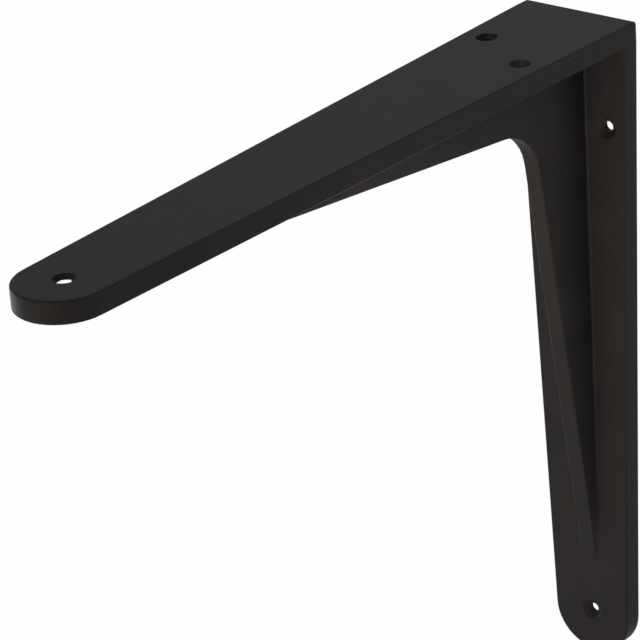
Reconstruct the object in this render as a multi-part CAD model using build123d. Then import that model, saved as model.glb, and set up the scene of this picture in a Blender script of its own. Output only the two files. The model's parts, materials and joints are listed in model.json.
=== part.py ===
from build123d import *
import os
from math import acos, atan2, cos, hypot, sin

# A cast shelf bracket: an arm under the shelf, a leg down the wall and one web between them.
# X runs across the width, Y into the wall and Z up.  The wall touches the plane y = 0, the
# shelf rests on the plane z = 0, and the arm reaches out towards -Y.  Millimetres.

# Overall size
ARM_LENGTH = 250.0            # wall plane to the round tip of the arm
LEG_HEIGHT = 225.0            # shelf plane to the round tip of the leg
CORNER_WIDTH = 41.4           # width of both plates where they meet
ARM_TIP_RADIUS = 14.0         # full round end of the arm
LEG_TIP_RADIUS = 14.4         # full round end of the leg
RIM_DEPTH = 7.0               # depth of both plates over their rims
CORNER_EDGE_RADIUS = 1.2      # long edge between the shelf face and the wall face
EDGE_RADIUS = 0.6             # sides and tips of the shelf face and the wall face
INNER_EDGE = 0.4              # broken edge round the inner faces

# Web, its free edge drawn as two straight runs joined by an arch: (y, z)
WEB_EDGE = 6.0                # thickness at the free edge
WEB_ARM_END = (-229.5, -6.2)  # inside the hollow of the arm
WEB_CORNER = (-31.15, -28.7)
WEB_LEG_END = (-7.0, -190.0)  # runs out on the front face of the leg
WEB_ARCH_RADIUS = 19.0
WEB_EDGE_RADIUS = 0.6         # rounding of both free edges
WEB_FOOT_TOP = 10.6           # thickness at the leg's front face, level with the shelf plane
WEB_FOOT_END = 8.4            # the same where the web runs out
WEB_ROOT_RADIUS = 0.8         # cast fillet along both roots
WEB_SINK = 0.1                # how far its sides and fillets start inside the metal
WEB_ROOT_END = -168.0         # where the fillet on the leg stops, above the run-out
WEB_EMBED = (-5.0, -1.0)      # how far the web reaches into the leg and the arm: (y, z)

# Hollow underside of the arm
ARM_SKIN = 2.0
ARM_RIM = 3.2
ARM_HOLLOW_START = 10.0       # from the wall plane, just in front of the leg
# Hollow back of the leg
LEG_SKIN = 3.3
LEG_RIM = 3.5
LEG_HOLLOW_START = 12.0       # from the shelf plane
HOLLOW_RADIUS = 1.0           # fillet round the floor and the corners of both hollows

# Shelf screw holes, plain through the skin of the arm: (x, y)
ARM_HOLE_DIAMETER = 6.8
ARM_HOLES = ((-11.25, -34.0), (11.25, -47.5), (0.0, -235.0))
# Wall screw holes, countersunk in the front face of the leg: (x, z)
LEG_HOLE_DIAMETER = 3.5
LEG_SINK_DIAMETER = 7.6
LEG_SINK_DEPTH = 1.5
LEG_HOLES = ((12.75, -34.5), (-12.75, -48.0), (0.0, -210.0))

CLEAR = 1.0                   # how far cutting tools run past the metal
SMALL = 0.001

# Each plate is drawn flat under its own plane with its tip towards local -Y.
# The leg is the arm's drawing turned down, so its depth runs away from the wall.
ARM_PLANE = Plane.XY
LEG_PLANE = Plane(origin=(0, 0, 0), x_dir=(-1, 0, 0), z_dir=(0, 1, 0))


def plate_outline(length, tip_radius, inset=0.0, start=0.0):
    """Face in the XY plane: a tapered plate from y = start to a full round tip at y = -length."""
    half = CORNER_WIDTH / 2 - inset
    radius = tip_radius - inset
    shoulder = min(start, -RIM_DEPTH)
    centre = tip_radius - length
    rise = shoulder - centre
    turn = atan2(rise, half) - acos(radius / hypot(half, rise))
    side = [(radius * cos(turn), centre + radius * sin(turn)), (half, shoulder)]
    if start > shoulder:
        side.append((half, start))
    rim = Polyline(*side, *[(-x, y) for x, y in reversed(side)])
    tip = ThreePointArc(rim @ 1, (0, inset - length), rim @ 0)
    return make_face([*rim.edges(), tip])


def plate(length, tip_radius):
    """Solid plate under the XY plane, the edge of its inner face broken all round the tip."""
    solid = extrude(plate_outline(length, tip_radius), amount=-RIM_DEPTH)
    inner_face = solid.faces().sort_by(Axis.Z)[0]
    return chamfer(inner_face.edges().sort_by(Axis.Y)[:-1], INNER_EDGE)


def is_outer_edge(edge):
    """True for an edge along the sides and tips of the shelf face or the wall face."""
    box = edge.bounding_box()
    bend = -CORNER_EDGE_RADIUS - SMALL
    on_face = box.min.Z > -SMALL or box.min.Y > -SMALL
    on_bend = box.min.Z > bend and box.min.Y > bend
    across = box.size.X > CORNER_WIDTH - SMALL
    return (on_face or on_bend) and not across


def plates():
    """Arm and leg joined at the corner, with their outer edges rounded."""
    arm = ARM_PLANE * plate(ARM_LENGTH, ARM_TIP_RADIUS)
    leg = LEG_PLANE * plate(LEG_HEIGHT, LEG_TIP_RADIUS)
    solid = arm + leg
    corner = solid.edges().filter_by(Axis.X).sort_by(lambda edge: edge.center().Y + edge.center().Z)[-1]
    solid = fillet(corner, CORNER_EDGE_RADIUS)
    return fillet([edge for edge in solid.edges() if is_outer_edge(edge)], EDGE_RADIUS)


def hollow(length, tip_radius, rim, start, floor, open_side):
    """Tool that hollows a plate: rim wide all round, from the open side to the floor."""
    outline = plate_outline(length, tip_radius, rim, -start)
    outline = fillet(outline.vertices().group_by(Axis.Y)[-1], 2 * HOLLOW_RADIUS)
    solid = Pos(0, 0, floor) * extrude(outline, amount=open_side - floor)
    return fillet(solid.faces().sort_by(Axis.Z, reverse=open_side < floor)[0].edges(), HOLLOW_RADIUS)


def web_profile():
    """Face of the web in the YZ plane."""
    embed_y, embed_z = WEB_EMBED
    outline = Polyline(
        (WEB_ARM_END[0], embed_z),
        WEB_ARM_END,
        WEB_CORNER,
        WEB_LEG_END,
        (embed_y, WEB_LEG_END[1]),
        (embed_y, embed_z),
        close=True,
    )
    face = make_face(outline)
    arch = face.vertices().sort_by_distance(WEB_CORNER)[0]
    return Plane.YZ * fillet(arch, WEB_ARCH_RADIUS)


def is_slanted(edge):
    """True for an edge along the free edge of the web, which runs along no axis."""
    size = edge.bounding_box().size
    return size.Y > SMALL and size.Z > SMALL


def web_foot(z):
    """Half thickness of the web at the leg's front face, at height z."""
    growth = (WEB_FOOT_TOP - WEB_FOOT_END) / -WEB_LEG_END[1]
    return (WEB_FOOT_TOP + growth * z) / 2


def web_flank():
    """The +X side of the web, ruled from the rounding of its free edge to its foot on the leg."""
    inner = offset(web_profile(), -WEB_EDGE_RADIUS).face()
    near = Pos(WEB_EDGE / 2, 0, 0) * inner.outer_wire()
    foot = []
    for edge in near.order_edges():
        knot = edge @ 0
        on_free_edge = knot.Y < WEB_EDGE_RADIUS - RIM_DEPTH
        foot.append((web_foot(knot.Z), WEB_SINK - RIM_DEPTH if on_free_edge else knot.Y, knot.Z))
    return Solid.make_loft([near, Wire.make_polygon(foot, close=True)], ruled=True)


def root_bar(start, end, face_depth):
    """Concave fillet at the foot of the web's +X side, in the frame of one plate.

    start and end are its two ends, each as (half thickness of the web, place along the plate).
    """
    radius = WEB_ROOT_RADIUS
    low = -face_depth - radius
    top = CLEAR - face_depth
    corners = ((-radius, low), (radius, low), (radius, top), (-radius, top))
    section = make_face(Polyline(*corners, close=True)) - Pos(radius, low) * Circle(radius)
    run = Vector(end[0] - start[0], end[1] - start[1], 0)
    bar = extrude(Plane.XZ * section, amount=run.length, dir=run.normalized())
    return Pos(start[0] - WEB_SINK, start[1], 0) * bar


def web():
    """Web with an arch, rounded free edges, ruled sides and cast fillets at both roots."""
    core = extrude(web_profile(), amount=WEB_EDGE / 2, both=True)
    corner = web_foot(-ARM_SKIN)
    arm_end = WEB_ARM_END[0] + 2 * WEB_EDGE_RADIUS
    arm_root = root_bar((corner, WEB_EMBED[0]), (WEB_EDGE / 2, arm_end), ARM_SKIN)
    leg_root = root_bar((corner, WEB_EMBED[1]), (web_foot(WEB_ROOT_END), WEB_ROOT_END), RIM_DEPTH)
    solid = fillet([edge for edge in core.edges() if is_slanted(edge)], WEB_EDGE_RADIUS)
    for side in (web_flank(), ARM_PLANE * arm_root, mirror(LEG_PLANE * leg_root, Plane.YZ)):
        solid += side
        solid += mirror(side, Plane.YZ)
    return solid


def arm_hole(x, y):
    """Plain screw hole down through the arm."""
    return Pos(x, y, 0) * Cylinder(ARM_HOLE_DIAMETER / 2, 2 * RIM_DEPTH)


def leg_hole(x, z):
    """Screw hole through the leg with its countersink in the front face."""
    front = Plane(origin=(x, -RIM_DEPTH, z), x_dir=(1, 0, 0), z_dir=(0, -1, 0))
    bore = Cylinder(LEG_HOLE_DIAMETER / 2, 2 * (RIM_DEPTH + CLEAR))
    sink = Cone(
        LEG_HOLE_DIAMETER / 2,
        LEG_SINK_DIAMETER / 2,
        LEG_SINK_DEPTH,
        align=(Align.CENTER, Align.CENTER, Align.MAX),
    )
    mouth = Cylinder(LEG_SINK_DIAMETER / 2, CLEAR, align=(Align.CENTER, Align.CENTER, Align.MIN))
    return front * (bore + sink + mouth)


def bracket():
    """The whole casting as one solid."""
    body = plates()
    body -= ARM_PLANE * hollow(
        ARM_LENGTH, ARM_TIP_RADIUS, ARM_RIM, ARM_HOLLOW_START, -ARM_SKIN, -RIM_DEPTH - CLEAR
    )
    body -= LEG_PLANE * hollow(
        LEG_HEIGHT, LEG_TIP_RADIUS, LEG_RIM, LEG_HOLLOW_START, LEG_SKIN - RIM_DEPTH, CLEAR
    )
    body += web()
    for x, y in ARM_HOLES:
        body -= arm_hole(x, y)
    for x, z in LEG_HOLES:
        body -= leg_hole(x, z)
    return body


os.makedirs("parts", exist_ok=True)
casting = bracket()
casting.label = "bracket"
export_step(casting, "parts/bracket.step")
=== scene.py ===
"""Dresses a cast shelf bracket in its satin black coating and sets it in a plain pale studio."""
from __future__ import annotations

import json
import logging
import math
from dataclasses import dataclass, field
from enum import Enum
from typing import Any

import bpy
from mathutils import Matrix, Vector

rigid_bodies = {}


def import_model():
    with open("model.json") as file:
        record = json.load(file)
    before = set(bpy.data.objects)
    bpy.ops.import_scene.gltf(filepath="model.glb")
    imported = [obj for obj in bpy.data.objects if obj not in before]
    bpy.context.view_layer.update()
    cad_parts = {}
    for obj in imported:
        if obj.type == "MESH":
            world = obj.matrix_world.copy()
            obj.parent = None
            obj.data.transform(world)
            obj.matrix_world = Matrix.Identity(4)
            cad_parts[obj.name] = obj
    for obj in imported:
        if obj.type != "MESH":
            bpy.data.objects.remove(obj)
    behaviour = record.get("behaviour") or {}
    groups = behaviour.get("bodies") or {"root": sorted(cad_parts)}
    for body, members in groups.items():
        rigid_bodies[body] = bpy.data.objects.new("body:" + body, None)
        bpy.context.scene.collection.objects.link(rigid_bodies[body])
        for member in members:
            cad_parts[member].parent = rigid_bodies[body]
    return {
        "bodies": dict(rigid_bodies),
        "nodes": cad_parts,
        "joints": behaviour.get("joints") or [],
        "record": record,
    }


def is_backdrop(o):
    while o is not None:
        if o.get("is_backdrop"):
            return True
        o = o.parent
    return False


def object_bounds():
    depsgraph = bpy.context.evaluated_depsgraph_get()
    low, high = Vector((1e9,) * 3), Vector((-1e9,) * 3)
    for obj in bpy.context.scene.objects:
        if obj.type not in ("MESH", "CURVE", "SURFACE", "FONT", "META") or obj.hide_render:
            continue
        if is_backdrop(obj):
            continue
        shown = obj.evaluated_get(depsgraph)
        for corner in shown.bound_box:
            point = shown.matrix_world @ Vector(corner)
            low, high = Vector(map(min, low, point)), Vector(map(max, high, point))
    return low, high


LOG = logging.getLogger("shelf_bracket")
Colour = tuple[float, float, float, float]
WHITE: Colour = (1.0, 1.0, 1.0, 1.0)


def srgb(red: float, green: float, blue: float) -> Colour:
    """Turns a display colour, 0 to 1, into the linear one that a shader takes.

    Args:
        red: Display red.
        green: Display green.
        blue: Display blue.

    Returns:
        The linear colour with full alpha.
    """
    def lift(value: float) -> float:
        """Undoes the display curve for one channel."""
        return value / 12.92 if value <= 0.04045 else ((value + 0.055) / 1.055) ** 2.4

    return (lift(red), lift(green), lift(blue), 1.0)


@dataclass(frozen=True)
class Signal:
    """One output socket, with the operators that shader maths needs."""

    graph: ShaderGraph
    socket: bpy.types.NodeSocket

    def _math(self, operation: str, first: Any, second: Any) -> Signal:
        """Adds one Math node.

        Args:
            operation: The node's operation.
            first: Number or Signal.
            second: Number or Signal.

        Returns:
            The result.
        """
        made = self.graph.add("ShaderNodeMath", {"operation": operation}, {0: first, 1: second})
        return made.out("Value")

    def __add__(self, other: Any) -> Signal:
        """self + other."""
        return self._math("ADD", self, other)

    def __radd__(self, other: Any) -> Signal:
        """other + self."""
        return self._math("ADD", other, self)

    def __sub__(self, other: Any) -> Signal:
        """self - other."""
        return self._math("SUBTRACT", self, other)

    def __rsub__(self, other: Any) -> Signal:
        """other - self."""
        return self._math("SUBTRACT", other, self)

    def __mul__(self, other: Any) -> Signal:
        """self * other."""
        return self._math("MULTIPLY", self, other)

    def __rmul__(self, other: Any) -> Signal:
        """other * self."""
        return self._math("MULTIPLY", other, self)

    def step(self, low: float, high: float) -> Signal:
        """Smooth step of this value.

        Args:
            low: Value at which the step is 0.
            high: Value at which the step is 1.

        Returns:
            A value from 0 to 1.
        """
        made = self.graph.add(
            "ShaderNodeMapRange",
            {"interpolation_type": "SMOOTHSTEP", "clamp": True},
            {"Value": self, "From Min": low, "From Max": high},
        )
        return made.out("Result")


@dataclass(frozen=True)
class NodeHandle:
    """One node, so that its outputs can be picked by name or number."""

    graph: ShaderGraph
    node: bpy.types.Node

    def out(self, name: str | int) -> Signal:
        """The output socket of this name or number."""
        return Signal(self.graph, self.node.outputs[name])


class ShaderGraph:
    """The node tree of one material or world."""

    def __init__(self, owner: bpy.types.Material | bpy.types.World) -> None:
        """Starts with an empty tree."""
        owner.use_nodes = True
        self.tree = owner.node_tree
        self.tree.nodes.clear()

    def add(
        self,
        kind: str,
        settings: dict[str, Any] | None = None,
        inputs: dict[str | int, Any] | None = None,
    ) -> NodeHandle:
        """Adds one node.

        Args:
            kind: Blender's node type.
            settings: The node's own settings.
            inputs: Socket name or number to a plain value or a Signal.

        Returns:
            A handle to the new node.
        """
        node = self.tree.nodes.new(kind)
        for name, value in (settings or {}).items():
            setattr(node, name, value)
        for name, value in (inputs or {}).items():
            if isinstance(value, Signal):
                self.tree.links.new(value.socket, node.inputs[name])
            else:
                node.inputs[name].default_value = value
        return NodeHandle(self, node)

    def blend(self, factor: Any, first: Any, second: Any) -> Signal:
        """Mixes two colours.

        Args:
            factor: 0 for the first colour, 1 for the second.
            first: Colour or Signal.
            second: Colour or Signal.

        Returns:
            The mixed colour.
        """
        sockets = {0: factor, 6: first, 7: second}
        return self.add("ShaderNodeMix", {"data_type": "RGBA"}, sockets).out(2)


def rays_that_see(graph: ShaderGraph) -> Signal:
    """Mask of the rays that show the white surroundings.

    Args:
        graph: The tree that the mask is for.

    Returns:
        1 for camera, glossy and transmission rays, and 0 for the ones that only carry light.
    """
    rays = graph.add("ShaderNodeLightPath")
    glossy = rays.out("Is Glossy Ray")
    through = rays.out("Is Transmission Ray")
    direct = rays.out("Is Camera Ray")
    return (direct + glossy + through).step(0.0, 1.0)


@dataclass(frozen=True)
class SatinCoating:
    """Black powder coating: a fine orange peel, slight clouding and a few pale dust specks.

    Sizes and depths are metres. Each band holds the values at which its step is 0 and 1.
    """

    name: str = "satin_black_coating"
    thin: Colour = srgb(0.112, 0.104, 0.098)
    thick: Colour = srgb(0.095, 0.088, 0.082)
    speck: Colour = srgb(0.50, 0.48, 0.45)
    roughness: float = 0.60
    cloud_spread: float = 0.10
    grain_spread: float = 0.10
    specular_level: float = 0.10
    specular_tint: Colour = (1.0, 0.88, 0.80, 1.0)
    cloud_size: float = 0.022
    cloud_detail: float = 3.0
    cloud_band: tuple[float, float] = (0.35, 0.65)
    peel_size: float = 0.0011
    peel_depth: float = 0.00003
    grain_size: float = 0.00035
    grain_depth: float = 0.00001
    fine_detail: float = 1.0
    noise_roughness: float = 0.55
    noise_middle: float = 0.5
    speck_spacing: float = 0.0022
    speck_band: tuple[float, float] = (0.05, 0.11)
    speck_choice: tuple[float, float] = (0.965, 0.975)
    speck_strength: float = 0.7

    def material(self) -> bpy.types.Material:
        """Builds the coating.

        Returns:
            The finished material.
        """
        made = bpy.data.materials.new(self.name)
        graph = ShaderGraph(made)
        place = graph.add("ShaderNodeTexCoord").out("Object")

        def noise(size: float, detail: float) -> Signal:
            """Noise whose blobs are about this many metres across."""
            sockets = {
                "Vector": place,
                "Scale": 1.0 / size,
                "Detail": detail,
                "Roughness": self.noise_roughness,
            }
            return graph.add("ShaderNodeTexNoise", {"noise_dimensions": "3D"}, sockets).out("Fac")

        cloud = noise(self.cloud_size, self.cloud_detail)
        peel = noise(self.peel_size, self.fine_detail)
        grain = noise(self.grain_size, self.fine_detail)

        clouded = graph.blend(cloud.step(*self.cloud_band), self.thick, self.thin)
        dust = self._dust(graph, place) * self.speck_strength
        cloud_share = (cloud - self.noise_middle) * self.cloud_spread
        grain_share = (grain - self.noise_middle) * self.grain_spread
        peeled = {"Strength": 1.0, "Distance": self.peel_depth, "Height": peel}
        peel_normal = graph.add("ShaderNodeBump", None, peeled).out("Normal")
        grained = {"Strength": 1.0, "Distance": self.grain_depth, "Height": grain}
        grained["Normal"] = peel_normal
        shader = graph.add(
            "ShaderNodeBsdfPrincipled",
            None,
            {
                "Base Color": graph.blend(dust, clouded, self.speck),
                "Roughness": self.roughness + cloud_share + grain_share,
                "Specular IOR Level": self.specular_level,
                "Specular Tint": self.specular_tint,
                "Normal": graph.add("ShaderNodeBump", None, grained).out("Normal"),
            },
        )
        graph.add("ShaderNodeOutputMaterial", None, {"Surface": shader.out("BSDF")})
        return made

    def _dust(self, graph: ShaderGraph, place: Signal) -> Signal:
        """Marks a small dot in a few of the cells that the surface is split into.

        Args:
            graph: The coating's tree.
            place: The point on the bracket.

        Returns:
            1 on a dust speck and 0 elsewhere.
        """
        sockets = {"Vector": place, "Scale": 1.0 / self.speck_spacing}
        cells = graph.add("ShaderNodeTexVoronoi", {"feature": "F1"}, sockets)
        near_centre = 1.0 - cells.out("Distance").step(*self.speck_band)
        colour = {"Color": cells.out("Color")}
        choice = graph.add("ShaderNodeSeparateColor", None, colour).out("Red")
        return near_centre * choice.step(*self.speck_choice)


@dataclass
class Casting:
    """The bracket itself: one casting, coated all over."""

    frame: dict[str, Any]
    node: str = "bracket"
    finish: SatinCoating = field(default_factory=SatinCoating)

    def dress(self) -> bpy.types.Object:
        """Gives the casting its coating.

        Returns:
            The dressed object.
        """
        piece = self.frame["nodes"][self.node]
        coating = self.finish.material()
        for slot in piece.material_slots:
            slot.material = coating
        LOG.info("%s: coated with %s", self.node, coating.name)
        return piece


class Surround(Enum):
    """The two surfaces of the studio."""

    FLOOR = "studio_floor"
    BACKDROP = "studio_backdrop"


@dataclass(frozen=True)
class PaleSurface:
    """Matt pale surface that the camera and reflections see as all but plain white."""

    name: str
    paint: Colour = srgb(0.92, 0.92, 0.92)
    white_share: float = 0.985

    def material(self) -> bpy.types.Material:
        """Builds the surface.

        Returns:
            The finished material.
        """
        made = bpy.data.materials.new(self.name)
        graph = ShaderGraph(made)
        seen = rays_that_see(graph)
        matt = graph.add("ShaderNodeBsdfDiffuse", None, {"Color": self.paint}).out("BSDF")
        glow = graph.add("ShaderNodeEmission", None, {"Color": WHITE, "Strength": 1.0})
        shares = {0: seen * self.white_share, 1: matt, 2: glow.out("Emission")}
        mixed = graph.add("ShaderNodeMixShader", None, shares)
        graph.add("ShaderNodeOutputMaterial", None, {"Surface": mixed.out("Shader")})
        return made


class Aim(Enum):
    """What a lamp is aimed at."""

    MIDDLE = "middle of the bracket"
    CORNER = "corner of the bracket"


@dataclass(frozen=True)
class SoftLamp:
    """One square soft lamp, placed by its angles and its distance from what it is aimed at.

    Angles are degrees and lengths are metres. The lamp lights the bracket and shows in its
    gloss, but no view shows the lamp itself.
    """

    name: str
    bearing: float
    rise: float
    watts: float
    distance: float = 1.6
    size: float = 0.9
    aim: Aim = Aim.MIDDLE

    def build(self, target: Vector) -> bpy.types.Object:
        """Makes the lamp.

        Args:
            target: The point that it is aimed at.

        Returns:
            The lamp's object.
        """
        data = bpy.data.lights.new(self.name, "AREA")
        data.shape = "SQUARE"
        data.size = self.size
        data.energy = self.watts
        lamp = bpy.data.objects.new(self.name, data)
        turn, rise = math.radians(self.bearing), math.radians(self.rise)
        away = Vector(
            (math.cos(turn) * math.cos(rise), math.sin(turn) * math.cos(rise), math.sin(rise))
        )
        lamp.location = target + away * self.distance
        lamp.rotation_euler = (-away).to_track_quat("-Z", "Y").to_euler()
        lamp.visible_camera = False
        bpy.context.scene.collection.objects.link(lamp)
        return lamp


@dataclass
class Studio:
    """Pale floor and backdrop, soft lamps and an even world.

    A lamp's bearing is 0 at the bracket's +X side, 90 behind the wall face and 270 in front.
    The floor lies low enough not to hide the bracket from low views.
    """

    low: Vector
    high: Vector
    drop: float = 1.6
    reach: float = 6.0
    world_level: float = 0.5
    lamps: tuple[SoftLamp, ...] = (
        SoftLamp("lamp_overhead", 0.0, 88.0, 1.5),
        SoftLamp("lamp_over_wall", 135.0, 28.0, 0.5),
        SoftLamp("lamp_left", 180.0, -14.0, 8.0),
        SoftLamp("lamp_front", 270.0, -14.0, 10.0),
        SoftLamp("lamp_low_front", 229.0, -30.0, 1.1, distance=0.9, size=0.45),
        SoftLamp("lamp_low_near", 319.0, -25.0, 1.0, distance=0.9, size=0.45),
        SoftLamp("lamp_corner_low", 28.0, -32.0, 0.15, distance=0.56, size=0.25, aim=Aim.CORNER),
        SoftLamp("lamp_corner_high", 27.0, 24.0, 0.5, distance=0.37, size=0.2, aim=Aim.CORNER),
        SoftLamp("lamp_in_the_angle", 278.0, -28.0, 0.08, distance=0.15, size=0.06, aim=Aim.CORNER),
    )

    def build(self) -> None:
        """Builds the whole studio."""
        middle = (self.low + self.high) / 2
        self._surfaces(middle)
        self._world()
        targets = {Aim.MIDDLE: middle, Aim.CORNER: Vector((middle.x, self.high.y, self.high.z))}
        for lamp in self.lamps:
            lamp.build(targets[lamp.aim])
            LOG.info("%s: %.2f W", lamp.name, lamp.watts)

    def _surfaces(self, middle: Vector) -> None:
        """Makes the floor and the backdrop and marks them as stage.

        Args:
            middle: The middle of the bracket's box.
        """
        left, right = middle.x - self.reach, middle.x + self.reach
        front, back = middle.y - self.reach, self.high.y + self.reach / 2
        ground = self.low.z - self.drop
        top = ground + self.reach
        front_edge = [(left, front, ground), (right, front, ground)]
        top_edge = [(right, back, top), (left, back, top)]
        seam = [(right, back, ground), (left, back, ground)]
        corners = {Surround.FLOOR: front_edge + seam, Surround.BACKDROP: seam[::-1] + top_edge}
        for surround, points in corners.items():
            mesh = bpy.data.meshes.new(surround.value)
            mesh.from_pydata(points, [], [(0, 1, 2, 3)])
            mesh.materials.append(PaleSurface(surround.value).material())
            piece = bpy.data.objects.new(surround.value, mesh)
            bpy.context.scene.collection.objects.link(piece)
            piece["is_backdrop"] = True
            LOG.info("%s: %.1f m wide", surround.value, right - left)

    def _world(self) -> None:
        """Makes the even world: white to the camera and to gloss, softer as a light."""
        world = bpy.data.worlds.new("studio_world")
        bpy.context.scene.world = world
        graph = ShaderGraph(world)
        seen = rays_that_see(graph)
        strength = self.world_level + seen * (1.0 - self.world_level)
        light = graph.add("ShaderNodeBackground", None, {"Color": WHITE, "Strength": strength})
        graph.add("ShaderNodeOutputWorld", None, {"Surface": light.out("Background")})


@dataclass(frozen=True)
class ViewPoint:
    """Camera placed by its angles round a point of the bracket.

    Its azimuth is 0 in front of the bracket and 90 at the +X side. Angles are degrees, the lens
    and the sensor are millimetres, the shift is a share of the frame, and the rest is metres.
    """

    azimuth: float = 40.661
    elevation: float = 24.653
    roll: float = -4.008
    distance: float = 1.065854
    aim: tuple[float, float, float] = (0.0, -0.1125, -0.1125)
    offset: tuple[float, float] = (-0.009822, 0.048584)
    lens: float = 198.902
    shift: tuple[float, float] = (-0.03912, -0.01119)
    sensor_width: float = 36.0
    clip: tuple[float, float] = (0.05, 50.0)

    def build(self) -> bpy.types.Object:
        """Makes the camera and makes it the scene's own.

        Returns:
            The camera's object.
        """
        turn, rise, roll = (math.radians(v) for v in (self.azimuth, self.elevation, self.roll))
        back = Vector(
            (math.sin(turn) * math.cos(rise), -math.cos(turn) * math.cos(rise), math.sin(rise))
        )
        level = Vector((math.cos(turn), math.sin(turn), 0.0))
        upright = back.cross(level)
        right = level * math.cos(roll) + upright * math.sin(roll)
        up = upright * math.cos(roll) - level * math.sin(roll)
        data = bpy.data.cameras.new("camera")
        data.sensor_fit = "HORIZONTAL"
        data.sensor_width = self.sensor_width
        data.lens = self.lens
        data.shift_x, data.shift_y = self.shift
        data.clip_start, data.clip_end = self.clip
        camera = bpy.data.objects.new("camera", data)
        place = Vector(self.aim) + back * self.distance
        place += right * self.offset[0] + up * self.offset[1]
        turned = Matrix((right, up, back)).transposed().to_4x4()
        camera.matrix_world = Matrix.Translation(place) @ turned
        bpy.context.scene.collection.objects.link(camera)
        bpy.context.scene.camera = camera
        return camera


def main() -> None:
    """Builds the bracket, its studio and the camera in order."""
    logging.basicConfig(level=logging.INFO, format="%(name)s: %(message)s")
    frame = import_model()
    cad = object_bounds()
    ViewPoint().build()
    Casting(frame).dress()
    Studio(*cad).build()
    bpy.context.scene.view_settings.view_transform = "Standard"


if __name__ == "__main__":
    main()
